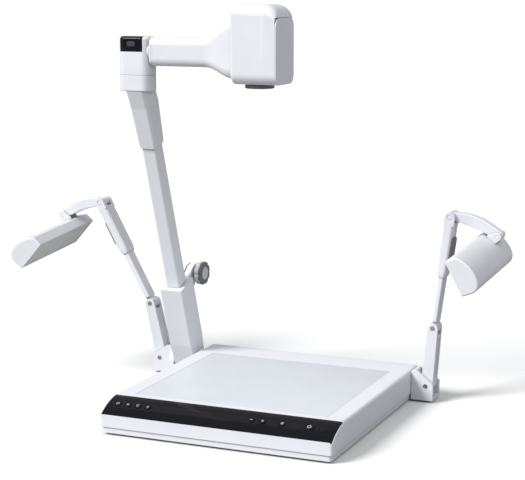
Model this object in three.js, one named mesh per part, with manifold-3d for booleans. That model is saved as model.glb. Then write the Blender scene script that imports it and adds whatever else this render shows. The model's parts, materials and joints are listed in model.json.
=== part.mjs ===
// Document camera: a flat base with a lit stage, a leaning telescopic mast with a camera on a side arm,
// and two folding side lamps. Millimetres, +Z up. The origin is the centre of the base on the desk,
// +X is the operator's right and -Y is the front, where the controls are.
import * as THREE from 'three';
import { mergeVertices } from 'three/addons/utils/BufferGeometryUtils.js';
import Module from 'manifold-3d';

const wasm = await Module();
wasm.setup();

// ---------- driving dimensions ----------
const GAP = 0.3;                     // running gap between neighbours
const WALL = 2.5;                    // moulded wall thickness
const SEGMENTS = 16;                 // sides of a round part

const BASE = { width: 400, depth: 430, top: 55, bottom: 4, corner: 8, parting: 14 };
const HALF_X = BASE.width / 2;
const HALF_Y = BASE.depth / 2;
const BEVEL = { rise: 34.7, run: 48, bulge: 7, thick: 2.4 };   // sloping front edge that holds the controls
const STAGE = { halfX: 168, front: -152, back: 150, thick: 3, ledge: 7 };
const FOOT = { radius: 11, inset: 34 };
const SUPPORT_RADIUS = 25;           // flat centre support moulded under the tray

const BUTTON = { radius: 5.6, long: 9, proud: 1.2, length: 6.5 };
const BUTTONS = [
  ['button_source', -178, false], ['button_freeze', -160, false], ['button_rotate', -142, false],
  ['button_lamp', -124, false], ['button_zoom_out', 57, false], ['button_zoom_in', 76, false],
  ['button_focus', 109, false], ['button_power', 154, true],
];
const BUTTON_GROUPS = [[-186, -116], [49, 84], [101, 117], [142, 166]];

const LEAN = THREE.MathUtils.degToRad(19);                     // of the mast, towards the front
const MAST = { x: -230, y: 180, z: 29 };                       // fold pivot
const SLEEVE = { width: 41, depth: 51, top: 162, foot: 21.5 };
const TUBE = { width: 27, depth: 29, wall: 2, corner: 4, bottom: 105, top: 528 };
const NECK = { bottom: 438, top: 560 };
const CLAMP = { y: 53, s: 157, halfWidth: 12, radius: 21, thick: 14, screw: 3 };
const PIN = 6;                                                 // radius of the mast's fold pin

const ELBOW = { x: -232.5, y: -5, width: 57, depth: 42, corner: 14, bottom: 539, seam: 565.5, top: 630 };
const SPINDLE = { radius: 8, bottom: 546, top: 600 };
const ARM = { start: -204, flare: -104, end: -43, y: -5, z: 605, width: 34, height: 48 };
const SPIGOT = { radius: 17, end: -220 };
const HEAD = { x0: -41, x1: 40, y: -17, z: 621, depth: 76, height: 128, corner: 16 };
const PANEL = { thick: 3, top: 664 };
const LENS = { x: -5, y: -15, radius: 24, tip: 550, seat: 577 };

const LAMP_Y = 192;                                            // middle of the lamp arms, front to back
const LAMP = { lower: 102, upper: 206, neck: 87, pivotZ: 29, pivotOut: 26, pin: 4 };
const LOWER_ARM = { width: 21, depth: 28, ear: 5.6 };
const ROD = { width: 10, depth: 26, length: 135, start: 13 };
const LAMP_SLEEVE = { width: 17, depth: 34, bottom: 100, channelTop: 178 };
const SHADE = { width: 64, deep: 36, shallow: 18, length: 204, wall: 2.2, pivot: [12, 41], behind: 38 };
const EAR = { inner: 9.2, outer: 13.2, radius: 7 };            // hinge ears on the back of a shade
const TRUNNION = 3.5;
// Degrees from the vertical for the arms, and below the level for the neck and the shade.
const LAMP_POSE = {
  left: { side: -1, face: -262, lower: 13, upper: 29, neck: 18.6, shade: 48, extension: 4 },
  right: { side: 1, face: 200, lower: 5, upper: 7.8, neck: 18.6, shade: 63, extension: -8 },
};
const SHADE_DIP = THREE.MathUtils.degToRad(4.5);               // the shades droop towards the front

// ---------- materials ----------
const material = (color, roughness, metalness = 0) =>
  new THREE.MeshStandardMaterial({ color, roughness, metalness });
const WHITE = material(0xe9eaf1, 0.45);
const STAGE_WHITE = material(0xe2e6ee, 0.35);
const GREY = material(0xb4b4c0, 0.5);
const DARK = material(0x6b6b66, 0.5);
const BLACK = material(0x0d0d12, 0.15);
const RUBBER = material(0x2a2a2c, 0.9);
const STEEL = material(0xa8aab0, 0.3, 1);
const BOARD = material(0x1f6a43, 0.6);
const GLASS = material(0x99aabb, 0.05);
const DIFFUSER = material(0xf4f2ea, 0.6);

// ---------- solids ----------
function solid(geometry) {
  const bare = new THREE.BufferGeometry();
  bare.setAttribute('position', geometry.getAttribute('position'));
  if (geometry.index) bare.setIndex(geometry.index);
  const merged = mergeVertices(bare, 1e-3);
  return new wasm.Manifold(new wasm.Mesh({
    numProp: 3,
    vertProperties: merged.attributes.position.array,
    triVerts: new Uint32Array(merged.index.array),
  }));
}

function geometryOf(body) {
  const mesh = body.getMesh();
  const geometry = new THREE.BufferGeometry();
  geometry.setAttribute('position', new THREE.BufferAttribute(new Float32Array(mesh.vertProperties), 3));
  geometry.setIndex(new THREE.BufferAttribute(new Uint32Array(mesh.triVerts), 1));
  return geometry;
}

function piece(name, body, look, parent) {
  const mesh = new THREE.Mesh(geometryOf(body), look);
  mesh.name = name;
  parent.add(mesh);
  return mesh;
}

const join = (first, ...rest) => rest.reduce((all, next) => all.add(next), first);
const cut = (first, ...rest) => rest.reduce((all, next) => all.subtract(next), first);

function box(x0, x1, y0, y1, z0, z1) {
  const geometry = new THREE.BoxGeometry(x1 - x0, y1 - y0, z1 - z0);
  return solid(geometry.translate((x0 + x1) / 2, (y0 + y1) / 2, (z0 + z1) / 2));
}

// A rounded rectangle about the point (u, v).
function rounded(u, v, width, height, radius) {
  const shape = new THREE.Shape();
  const [a, b] = [width / 2 - radius, height / 2 - radius];
  shape.absarc(u + a, v - b, radius, -Math.PI / 2, 0);
  shape.absarc(u + a, v + b, radius, 0, Math.PI / 2);
  shape.absarc(u - a, v + b, radius, Math.PI / 2, Math.PI);
  shape.absarc(u - a, v - b, radius, Math.PI, 1.5 * Math.PI);
  return shape;
}

function extruded(shape, depth, curveSegments) {
  return new THREE.ExtrudeGeometry(shape, { depth, bevelEnabled: false, curveSegments });
}

// A shape drawn in (x, y), from z0 up to z1.
function alongZ(shape, z0, z1, curveSegments = 4) {
  return solid(extruded(shape, z1 - z0, curveSegments).translate(0, 0, z0));
}

// A shape drawn in (y, z), from x0 to x1.
function alongX(shape, x0, x1, curveSegments = 4) {
  const turn = new THREE.Matrix4().set(0, 0, 1, x0, 1, 0, 0, 0, 0, 1, 0, 0, 0, 0, 0, 1);
  return solid(extruded(shape, x1 - x0, curveSegments).applyMatrix4(turn));
}

// A shape drawn in (x, z), from y0 to y1.
function alongY(shape, y0, y1, curveSegments = 4) {
  return solid(extruded(shape, y1 - y0, curveSegments).rotateX(Math.PI / 2).translate(0, y1, 0));
}

const disc = (u, v, radius) => new THREE.Shape().absarc(u, v, radius, 0, 2 * Math.PI);

// A round bar between two values of one axis, about the point (u, v) in the other two.
function bar(axis, u, v, radius, from, to, segments = SEGMENTS) {
  const make = { x: alongX, y: alongY, z: alongZ }[axis];
  return make(disc(u, v, radius), from, to, segments);
}

// A closed skin over rings that all have the same number of points.
function loft(rings) {
  const count = rings[0].length;
  const middle = (ring) => ring.reduce((sum, p) => sum.add(p), new THREE.Vector3()).divideScalar(count);
  const points = [...rings.flat(), middle(rings[0]), middle(rings.at(-1))];
  const index = [];
  const [startCap, endCap] = [points.length - 2, points.length - 1];
  const lastRing = (rings.length - 1) * count;
  for (let i = 0; i < count; i++) {
    const j = (i + 1) % count;
    index.push(startCap, j, i, endCap, lastRing + i, lastRing + j);
    for (let k = 0; k < lastRing; k += count) {
      index.push(k + i, k + j, k + count + j, k + i, k + count + j, k + count + i);
    }
  }
  const geometry = new THREE.BufferGeometry().setFromPoints(points);
  geometry.setIndex(index);
  return solid(geometry);
}

// A rounded rectangle in the plane across X, as a ring for a loft.
function ringAcrossX(x, y, z, width, height, radius) {
  const outline = rounded(y, z, width, height, radius).extractPoints(3).shape;
  return outline.slice(0, -1).map((p) => new THREE.Vector3(x, p.x, p.y));
}

// A rounded rectangle in the plane across Z, as a ring for a loft.
function ringAcrossZ(z, width, depth, radius, y = 0) {
  const outline = rounded(0, y, width, depth, radius).extractPoints(3).shape;
  return outline.slice(0, -1).map((p) => new THREE.Vector3(p.x, p.y, z));
}

const part = new THREE.Group();
part.name = 'document_camera';

// ---------- base ----------
// The sloping front edge, moved inwards by an offset: a line from the front face up to the top.
const bevelFoot = new THREE.Vector2(-HALF_Y, BEVEL.rise);
const bevelHead = new THREE.Vector2(-HALF_Y + BEVEL.run, BASE.top);
const bevelOut = bevelHead.clone().sub(bevelFoot).normalize().rotateAround(new THREE.Vector2(), Math.PI / 2);

function bevelCurve(offset) {
  const inwards = bevelOut.clone().multiplyScalar(-offset);
  const control = bevelFoot.clone().lerp(bevelHead, 0.5).addScaledVector(bevelOut, BEVEL.bulge);
  const curve = new THREE.QuadraticBezierCurve(bevelFoot, control, bevelHead);
  return curve.getPoints(5).map((p) => p.clone().add(inwards));
}

function planOfBase(inset) {
  const corner = BASE.corner - Math.min(inset, BASE.corner - 1);
  return rounded(0, 0, BASE.width - 2 * inset, BASE.depth - 2 * inset, corner);
}

// The side view of the cover, moved inwards by an offset.
function coverProfile(offset, bottom) {
  const top = BASE.top - offset;
  const front = -HALF_Y + offset;
  const slope = bevelCurve(offset).filter((p) => p.x > front && p.y < top);
  const shape = new THREE.Shape([
    new THREE.Vector2(HALF_Y - offset, bottom),
    new THREE.Vector2(HALF_Y - offset, top - 3),
    new THREE.Vector2(HALF_Y - offset - 3, top),
    ...[...slope].reverse(),
    new THREE.Vector2(front, Math.min(slope[0].y, BEVEL.rise) - 0.2),
    new THREE.Vector2(front, bottom),
  ]);
  return shape;
}

// Where a button stands on the slope: the middle of the curve and its outward direction.
const slopeMiddle = bevelCurve(0)[2].clone().lerp(bevelCurve(0)[3], 0.5);
const slopeTilt = Math.atan2(-bevelOut.x, bevelOut.y);

function buttonPlan(x, isLong, margin) {
  const width = 2 * (isLong ? BUTTON.long : BUTTON.radius) + 2 * margin;
  return rounded(x, 0, width, 2 * (BUTTON.radius + margin), BUTTON.radius + margin - 0.01);
}

// A column over a button's outline, between two heights along the slope's outward direction.
function buttonColumn(x, isLong, margin, low, high) {
  const geometry = extruded(buttonPlan(x, isLong, margin), high - low, 3);
  geometry.translate(0, 0, low).rotateX(slopeTilt).translate(0, slopeMiddle.x, slopeMiddle.y);
  return solid(geometry);
}

// A block lying on the slope, between two heights along the slope's outward direction.
function slopeBlock(x0, x1, depth, low, high) {
  const block = new THREE.BoxGeometry(x1 - x0, depth, high - low);
  block.translate((x0 + x1) / 2, 0, (low + high) / 2);
  return solid(block.rotateX(slopeTilt).translate(0, slopeMiddle.x, slopeMiddle.y));
}

// The board under the buttons, parallel to the slope, with a switch under each button.
function controlBoardBody() {
  const switches = BUTTONS.map(([, x]) => slopeBlock(x - 2.8, x + 2.8, 5.6, -8.4, -6.8));
  return join(slopeBlock(-185, 171, 20, -9.6, -8), ...switches);
}

const fasciaRecess = BEVEL.thick + GAP;

function fasciaBody() {
  const outer = bevelCurve(0);
  const inner = bevelCurve(BEVEL.thick);
  const strip = new THREE.Shape([...outer, ...inner.reverse()]);
  const holes = BUTTONS.map(([, x, isLong]) => buttonColumn(x, isLong, GAP, -8, 8));
  const plan = alongZ(planOfBase(1.2), BASE.bottom, BASE.top + 1);
  return cut(alongX(strip, -HALF_X, HALF_X).intersect(plan), ...holes);
}

function coverBody() {
  const strip = new THREE.Shape([
    ...bevelCurve(-3),
    ...bevelCurve(fasciaRecess).reverse(),
  ]);
  const outer = alongX(coverProfile(0, BASE.parting), -HALF_X, HALF_X);
  const inner = alongX(coverProfile(fasciaRecess + WALL, BASE.parting - 1), -HALF_X + WALL, HALF_X - WALL);
  const shell = cut(outer.intersect(alongZ(planOfBase(0), BASE.parting, BASE.top + 1)), inner);
  const { halfX, front, back, thick, ledge } = STAGE;
  const rear = box(-122, 62, HALF_Y - 20, HALF_Y + 5, 19, 43);
  return cut(
    shell,
    alongX(strip, -HALF_X - 1, HALF_X + 1),
    box(-halfX - GAP, halfX + GAP, front - GAP, back + GAP, BASE.top - thick, BASE.top + 1),
    box(-halfX + ledge, halfX - ledge, front + ledge, back - ledge, BASE.top - 20, BASE.top + 1),
    ...BUTTON_GROUPS.map(([x0, x1]) => slopeBlock(x0, x1, 2 * BUTTON.radius + 3, -23, 7)),
    rear,
  );
}

function trayBody() {
  const outer = alongZ(planOfBase(2.5), BASE.bottom, BASE.parting - GAP);
  const inner = alongZ(planOfBase(2.5 + WALL), BASE.bottom + WALL, BASE.parting + 1);
  const vents = [-3, -2, -1, 0, 1, 2, 3].map((i) =>
    box(87.5 + 12 * i, 92.5 + 12 * i, 90, 150, 0, 20));
  return cut(join(cut(outer, inner), bar('z', 0, 0, SUPPORT_RADIUS, 0, BASE.bottom + 1)), ...vents);
}

function addBase() {
  piece('base_cover', coverBody(), WHITE, part);
  piece('base_tray', trayBody(), WHITE, part);
  piece('control_fascia', fasciaBody(), BLACK, part);

  const { halfX, front, back, thick, ledge } = STAGE;
  const stageMiddle = (front + back) / 2;
  const stagePlan = rounded(0, stageMiddle, 2 * halfX, back - front, 2);
  piece('stage_panel', alongZ(stagePlan, BASE.top - thick + GAP, BASE.top, 3), STAGE_WHITE, part);
  const lightBottom = BASE.top - 18;
  const lightPlan = rounded(0, stageMiddle, 2 * (halfX - ledge) - 8, back - front - 2 * ledge - 8, 4);
  piece('stage_light_box', alongZ(lightPlan, lightBottom, BASE.top - thick - 4, 3), DIFFUSER, part);

  addBoards();
  for (const [name, x, y] of [
    ['foot_front_left', -1, -1], ['foot_front_right', 1, -1],
    ['foot_rear_left', -1, 1], ['foot_rear_right', 1, 1],
  ]) {
    const at = [x * (HALF_X - FOOT.inset), y * (HALF_Y - FOOT.inset)];
    piece(name, bar('z', ...at, FOOT.radius, 0, BASE.bottom - 0.1, 16), RUBBER, part);
  }
  for (const [name, x, isLong] of BUTTONS) {
    const low = BUTTON.proud - BUTTON.length;
    piece(name, buttonColumn(x, isLong, 0, low, BUTTON.proud), BLACK, part);
  }
}

// A circuit board with blocks for its parts, as one solid.
function boardBody(x0, x1, y0, y1, z, blocks) {
  const chips = blocks.map(([x, y, w, d, h]) => box(x, x + w, y, y + d, z + 1, z + 1.6 + h));
  return join(box(x0, x1, y0, y1, z, z + 1.6), ...chips);
}

function addBoards() {
  const floor = BASE.bottom + WALL;
  const main = [[-110, 20, 34, 34, 6], [-50, 40, 22, 22, 3], [-90, 90, 60, 16, 9], [0, 10, 26, 14, 4]];
  piece('main_board', boardBody(-130, 40, -20, 150, floor + 6, main), BOARD, part);
  piece('control_board', controlBoardBody(), BOARD, part);

  const back = HALF_Y;
  const plate = box(-121.5, 61.5, back - 2.2, back - 0.4, 19.5, 42.5);
  const sockets = [[-108, 34], [-62, 34], [-16, 16], [8, 12], [28, 20]];
  const shells = sockets.map(([x, w]) => box(x, x + w, back - 16, back - 1, 24, 38));
  const mouths = sockets.map(([x, w]) => box(x + 2, x + w - 2, back - 12, back + 1, 26, 36));
  piece('rear_connector_panel', cut(join(plate, ...shells), ...mouths), GREY, part);
  const inlet = cut(
    box(88, 116, back - 30, back - WALL - 4, 20, 40),
    bar('y', 102, 30, 5, back - 20, back, 16),
  );
  piece('power_inlet', inlet, BLACK, part);
}

// ---------- mast ----------
function mastBracketBody() {
  const cheek = (x0, x1) => alongX(
    new THREE.Shape().moveTo(MAST.y - 26, 5).lineTo(MAST.y + 28, 5).lineTo(MAST.y + 28, 30)
      .absarc(MAST.y, MAST.z, 23, 0.05, Math.PI - 0.05).lineTo(MAST.y - 26, 30),
    x0, x1, 8,
  );
  const inner = cheek(MAST.x + 21.3, -HALF_X - GAP);
  const outer = cheek(-262, MAST.x - 21.3);
  const floor = box(-262, -HALF_X - GAP, MAST.y - 26, MAST.y + 28, 4, 6.8);
  const pinHole = bar('x', MAST.y, MAST.z, PIN + GAP, -270, -HALF_X, 16);
  return cut(join(inner, outer, floor), pinHole);
}

// The section of the sliding tube, grown by a margin on every side.
function tubeOutline(margin) {
  return rounded(0, 0, TUBE.width + 2 * margin, TUBE.depth + 2 * margin, TUBE.corner + margin);
}

// The lower sleeve stands along Z with its fold pivot at the origin.
function lowerSleeveBody() {
  const { width, depth, top, foot } = SLEEVE;
  const side = new THREE.Shape().moveTo(foot, 0).lineTo(depth / 2, 46).lineTo(depth / 2, 128)
    .lineTo(CLAMP.y + 14, 146).lineTo(CLAMP.y + 14, top + 8).lineTo(CLAMP.y - 4, top + 10)
    .lineTo(depth / 2, top).lineTo(-depth / 2, top).lineTo(-depth / 2, 46)
    .absarc(0, 0, foot, Math.PI, 2 * Math.PI);
  const body = alongX(side, -width / 2, width / 2, 10);
  const slab = box(CLAMP.halfWidth, width, depth / 2, 2 * depth, 120, top + 20);
  const otherSlab = box(-width, -CLAMP.halfWidth, depth / 2, 2 * depth, 120, top + 20);
  const channel = alongZ(tubeOutline(GAP), 22, top + 30);
  const slot = box(-1.5, 1.5, 10, depth + 20, 112, top + 30);
  const pinHole = bar('x', 0, 0, PIN + GAP, -width, width, 16);
  const screwHole = bar('x', CLAMP.y, CLAMP.s, CLAMP.screw + GAP, -width, width, 12);
  return cut(body, slab, otherSlab, channel, slot, pinHole, screwHole);
}

function neckSleeveBody() {
  const skin = loft([
    ringAcrossZ(NECK.bottom, 32, 35, 5),
    ringAcrossZ(NECK.bottom + 12, 33, 37, 5),
    ringAcrossZ(NECK.top - 46, 35, 45, 6),
    ringAcrossZ(NECK.top, 35, 45, 6, -7),
  ]);
  const channel = alongZ(tubeOutline(GAP), 400, TUBE.top + 1);
  return cut(skin, channel);
}

function addMast() {
  piece('mast_bracket', mastBracketBody(), WHITE, part);
  const pinLength = [-261, -HALF_X - 1];
  piece('mast_hinge_pin', bar('x', MAST.y, MAST.z, PIN, ...pinLength, 16), STEEL, part);

  const mast = new THREE.Group();
  mast.position.set(MAST.x, MAST.y, MAST.z);
  mast.rotation.x = LEAN;
  part.add(mast);
  piece('mast_lower_sleeve', lowerSleeveBody(), WHITE, mast);

  const { wall, bottom, top } = TUBE;
  const outer = alongZ(tubeOutline(0), bottom, top);
  const bore = alongZ(tubeOutline(-wall), bottom - 1, top + 1);
  piece('mast_tube', cut(outer, bore), WHITE, mast);

  // The neck ends level, flush under the elbow.
  mast.updateMatrixWorld(true);
  const toMast = mast.matrixWorld.clone().invert();
  const above = new THREE.BoxGeometry(200, 400, 200).translate(MAST.x, 0, ELBOW.bottom - GAP + 100);
  piece('mast_neck_sleeve', neckSleeveBody().subtract(solid(above.applyMatrix4(toMast))), WHITE, mast);

  const screw = join(
    bar('x', CLAMP.y, CLAMP.s, CLAMP.screw, -CLAMP.halfWidth - 3, CLAMP.halfWidth + 10, 12),
    bar('x', CLAMP.y, CLAMP.s, 6, -CLAMP.halfWidth - 5, -CLAMP.halfWidth - GAP, 6),
  );
  piece('clamp_screw', screw, STEEL, mast);
  piece('clamp_knob', clampKnobBody(), DARK, mast);
}

// A round knob on the clamp screw, with finger hollows round its rim.
function clampKnobBody() {
  const { y, s, radius, thick, halfWidth, screw } = CLAMP;
  const hub = bar('x', y, s, 10, halfWidth + 0.6, halfWidth + 8);
  const wheel = bar('x', y, s, radius, halfWidth + 7, halfWidth + 7 + thick, 24);
  const hollows = Array.from({ length: 8 }, (_, i) => {
    const angle = (i * Math.PI) / 4;
    return bar('x', y + (radius + 2) * Math.cos(angle), s + (radius + 2) * Math.sin(angle), 4, 0, 60, 6);
  });
  const bore = bar('x', y, s, screw + 0.1, 0, halfWidth + 10.4, 12);
  return cut(join(hub, wheel), ...hollows, bore);
}

// ---------- elbow and camera ----------
function elbowPlan(inset) {
  return rounded(ELBOW.x, ELBOW.y, ELBOW.width - 2 * inset, ELBOW.depth - 2 * inset, ELBOW.corner - inset);
}

function addElbow() {
  const { x, y, bottom, seam, top } = ELBOW;
  const socket = bar('z', x, y, SPINDLE.radius + GAP, SPINDLE.bottom - 0.2, top - 20, 16);
  piece('elbow_collar', cut(alongZ(elbowPlan(0), bottom, seam), socket), WHITE, part);
  piece('elbow_spindle', bar('z', x, y, SPINDLE.radius, SPINDLE.bottom, SPINDLE.top, 16), STEEL, part);

  const outer = loft([
    ...[[seam + GAP, 0], [top - 5, 0], [top - 1.5, 1.5], [top, 5]].map(([z, inset]) =>
      elbowPlan(inset).extractPoints(3).shape.slice(0, -1).map((p) => new THREE.Vector3(p.x, p.y, z))),
  ]);
  const windowBlock = (grow) => box(
    x - 23 - grow, x + 19 + grow, y - 40, y - 4 + grow, top - 25 - grow, top + 9);
  const core = alongZ(elbowPlan(3), seam, top - 3);
  const coreWithGap = alongZ(elbowPlan(3 + GAP), seam, top - 3 - GAP);
  const spigotHole = bar('x', ARM.y, ARM.z, SPIGOT.radius + GAP, SPIGOT.end - 1, x + 60, 24);
  const spindleHole = bar('z', x, y, SPINDLE.radius + GAP, seam, SPINDLE.top + 1, 16);
  const windowRoom = cut(windowBlock(GAP), coreWithGap);
  piece('elbow_housing', cut(outer, windowRoom, spigotHole, spindleHole), WHITE, part);
  piece('sensor_window', cut(outer.intersect(windowBlock(0)), core), BLACK, part);
}

function cameraArmBody() {
  const { start, flare, end, y, z, width, height } = ARM;
  const reach = end - flare;
  const swell = [0, 0.25, 0.5, 0.75, 1].map((t) => {
    const grow = t * t * (3 - 2 * t);
    return ringAcrossX(
      flare + reach * t, y - 10 * grow, z + 8 * grow,
      width + (HEAD.depth - 14 - width) * grow, height + (HEAD.height - 30 - height) * grow,
      12 + 6 * grow,
    );
  });
  const skin = loft([ringAcrossX(start + 0.5, y, z, width, height, 12), ...swell]);
  return join(skin, bar('x', y, z, SPIGOT.radius, SPIGOT.end, start + 3, 24));
}

function headOutline(inset) {
  return rounded(HEAD.y, HEAD.z, HEAD.depth - 2 * inset, HEAD.height - 2 * inset, HEAD.corner - inset);
}

function headHousingBody() {
  const rings = [[HEAD.x0, 8], [HEAD.x0 + 3, 3], [HEAD.x0 + 9, 0.5], [HEAD.x0 + 18, 0], [HEAD.x1, 0]];
  const skin = loft(rings.map(([x, inset]) => ringAcrossX(
    x, HEAD.y, HEAD.z, HEAD.depth - 2 * inset, HEAD.height - 2 * inset, HEAD.corner - inset / 2)));
  const room = alongX(headOutline(WALL), HEAD.x0 + 10, HEAD.x1 - 6);
  const mouth = alongX(headOutline(WALL), HEAD.x1 - 7, HEAD.x1 + 1)
    .subtract(box(0, 100, -100, 100, PANEL.top - WALL, 800));
  const panelRoom = box(HEAD.x1 - PANEL.thick - GAP, HEAD.x1 + 1, -100, 100, 500, PANEL.top + GAP);
  const lensHole = bar('z', LENS.x, LENS.y, LENS.radius + GAP, 500, LENS.seat + 10, 24);
  return cut(skin, room, mouth, panelRoom, lensHole);
}

function addCamera() {
  piece('camera_arm', cameraArmBody(), WHITE, part);
  piece('camera_head_housing', headHousingBody(), WHITE, part);
  const side = alongX(headOutline(0), HEAD.x1 - PANEL.thick, HEAD.x1)
    .intersect(box(0, 100, -100, 100, 500, PANEL.top));
  piece('camera_side_panel', side, GREY, part);

  const { x, y, radius, tip, seat } = LENS;
  const hood = cut(bar('z', x, y, radius, tip, seat, 24), bar('z', x, y, radius - 5, tip - 1, seat + 1, 24));
  piece('lens_hood', hood, DARK, part);
  const dome = new THREE.LatheGeometry([
    new THREE.Vector2(0, 0), new THREE.Vector2(10, 1.2), new THREE.Vector2(radius - 5 - GAP, 4.5),
    new THREE.Vector2(radius - 5 - GAP, 7), new THREE.Vector2(0, 7),
  ], 24).rotateX(Math.PI / 2).translate(x, y, tip + 7);
  piece('lens_glass', solid(dome), GLASS, part);
  const barrel = join(
    bar('z', x, y, 17, tip + 15, seat + 20, 24),
    alongZ(rounded(x, y, 48, 52, 5), seat + 18, seat + 70),
  );
  piece('zoom_lens_block', barrel, DARK, part);
  const sensor = [x - 12, y - 12, 24, 24, 5];
  const sensorBoard = boardBody(x - 26, x + 26, y - 28, y + 28, seat + 71, [sensor]);
  piece('image_sensor_board', sensorBoard, BOARD, part);
}

// ---------- lamps ----------
// Each lamp piece is drawn in (x, z) with x pointing away from the base, and mirrored for the left side.
function outline(side, points) {
  return new THREE.Shape(points.map(([x, z]) => new THREE.Vector2(side * x, z)));
}

function lampBracketBody(side) {
  const { pivotOut, pivotZ, pin } = LAMP;
  const ear = new THREE.Shape().moveTo(0, 4).lineTo(0, 54).lineTo(side * 12, 54)
    .lineTo(side * (pivotOut + 13), pivotZ + 4).lineTo(side * (pivotOut + 13), 4);
  const depth = LOWER_ARM.depth / 2 + GAP;
  const front = alongY(ear, -depth - 7, -depth);
  const back = alongY(ear, depth, depth + 7);
  const web = box(side > 0 ? 0 : -7, side > 0 ? 7 : 0, -depth - 7, depth + 7, 4, 54);
  const floor = box(side > 0 ? 0 : -39, side > 0 ? 39 : 0, -depth - 7, depth + 7, 4, 10);
  return cut(join(front, back, web, floor), bar('y', side * pivotOut, pivotZ, pin + GAP, -40, 40, 12));
}

// The lower arm: a round foot about the pivot, and a fork at the elbow.
function lowerArmBody(side) {
  const { width, depth, ear } = LOWER_ARM;
  const half = width / 2;
  const shape = new THREE.Shape().moveTo(half, 0).lineTo(9, LAMP.lower)
    .absarc(0, LAMP.lower, 9, 0, Math.PI).lineTo(-half, 0).absarc(0, 0, half, Math.PI, 2 * Math.PI);
  const mouth = box(-20, 20, -depth / 2 + ear, depth / 2 - ear, LAMP.lower - 11, LAMP.lower + 20);
  const holes = [0, LAMP.lower].map((z) => bar('y', 0, z, LAMP.pin + GAP, -20, 20, 12));
  return cut(alongY(shape, -depth / 2, depth / 2, 6), mouth, ...holes);
}

// The rod stands on a tongue in the fork and slides in the sleeve.
function rodBody() {
  const tongue = LOWER_ARM.depth / 2 - LOWER_ARM.ear - GAP;
  const eye = bar('y', 0, 0, 9, -tongue, tongue, 16);
  const stem = box(-ROD.width / 2, ROD.width / 2, -tongue, tongue, 0, ROD.start + 4);
  const blade = alongZ(rounded(0, 0, ROD.width, ROD.depth, 3), ROD.start, ROD.length, 3);
  return cut(join(eye, stem, blade), bar('y', 0, 0, LAMP.pin + GAP, -20, 20, 12));
}

function lampSleeveBody() {
  const { width, depth, bottom, channelTop } = LAMP_SLEEVE;
  const top = LAMP.upper;
  const skin = loft([
    ringAcrossZ(bottom, width - 4, depth - 4, 4),
    ringAcrossZ(bottom + 10, width, depth, 5),
    ringAcrossZ(top - 14, width, depth, 5),
  ]);
  const knuckle = join(
    bar('y', 0, top, width / 2, -depth / 2, depth / 2),
    box(-width / 2, width / 2, -depth / 2, depth / 2, top - 15, top),
  );
  const bore = rounded(0, 0, ROD.width + 2 * GAP, ROD.depth + 2 * GAP, 3);
  const channel = alongZ(bore, bottom - 1, channelTop, 3);
  const mouth = box(-30, 30, -8.3, 8.3, top - 10, top + 20);
  const hole = bar('y', 0, top, LAMP.pin + GAP, -40, 40, 12);
  return cut(join(skin, knuckle), channel, mouth, hole);
}

// The neck is a broad web from the sleeve's knuckle over to the back of the shade, and bows upwards.
// Trunnions at its root turn in the sleeve, and trunnions on its far end carry the ears of the shade.
function lampNeckBody(side) {
  const reach = LAMP.neck;
  const steps = [0, 0.2, 0.4, 0.6, 0.8, 1];
  const bow = (t) => 8 * Math.sin(Math.PI * t);
  const upper = steps.map((t) => [reach * t, bow(t) + 8]);
  const web = (t) => 4 * Math.sin(Math.PI * t);
  const lower = steps.map((t) => [reach * t, bow(t) - 6 - 2 * t - web(t)]);
  const strap = alongY(outline(side, [...upper, ...lower.reverse()]), -8, 8);
  const root = bar('y', 0, 0, 8, -8, 8, 16);
  const rootReach = LAMP_SLEEVE.depth / 2 - 0.5;
  const rootTrunnion = bar('y', 0, 0, LAMP.pin, -rootReach, rootReach, 12);
  const end = bar('y', side * reach, 0, 8, -8, 8, 16);
  const trunnion = new THREE.CylinderGeometry(TRUNNION, TRUNNION, 2 * EAR.outer, 12).rotateX(SHADE_DIP);
  trunnion.translate(side * reach, 0, 0);
  return join(root, rootTrunnion, strap, end, solid(trunnion));
}

// The shade's cross-section over its lit face, with the pivot at the origin: thin at the inner edge.
function shadeOutline(side, inset) {
  const { width, deep, shallow, pivot } = SHADE;
  const [px, pz] = pivot;
  const [inner, outer] = [inset - px, width - inset - px];
  const low = -pz;
  const curve = new THREE.CubicBezierCurve(
    new THREE.Vector2(outer + 1, low + deep * 0.55 - inset),
    new THREE.Vector2(outer - 1, low + deep * 1.25 - inset),
    new THREE.Vector2(width * 0.3 - px, low + deep * 1.08 - inset),
    new THREE.Vector2(inner, low + shallow - inset / 2),
  );
  const back = curve.getPoints(9).map((p) => [p.x, p.y]);
  return outline(side, [[inner, low], [outer - 1, low], ...back]);
}

function shadeBody(side) {
  const { length, wall, width, pivot, behind } = SHADE;
  const front = behind - length;
  const skin = alongY(shadeOutline(side, 0), front, behind);
  const room = alongY(shadeOutline(side, wall), front + wall, behind - wall);
  const [inner, outer] = [wall - pivot[0], width - wall - pivot[0]];
  const opening = box(Math.min(side * inner, side * outer), Math.max(side * inner, side * outer),
    front + wall, behind - wall, -pivot[1] - 1, -pivot[1] + wall + 1);
  return cut(join(cut(skin, room, opening), ...shadeEars(side)),
    bar('y', 0, 0, TRUNNION + GAP, -EAR.outer - 1, EAR.outer + 1, 12));
}

// Two ears that stand on the back of the shade, either side of the neck.
function shadeEars(side) {
  const ear = new THREE.Shape().moveTo(side * EAR.radius, 0)
    .absarc(0, 0, EAR.radius, side > 0 ? 0 : Math.PI, side > 0 ? Math.PI : 0, side < 0)
    .lineTo(-side * EAR.radius, -19).lineTo(side * 12, -13);
  return [alongY(ear, EAR.inner, EAR.outer), alongY(ear, -EAR.outer, -EAR.inner)];
}

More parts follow.
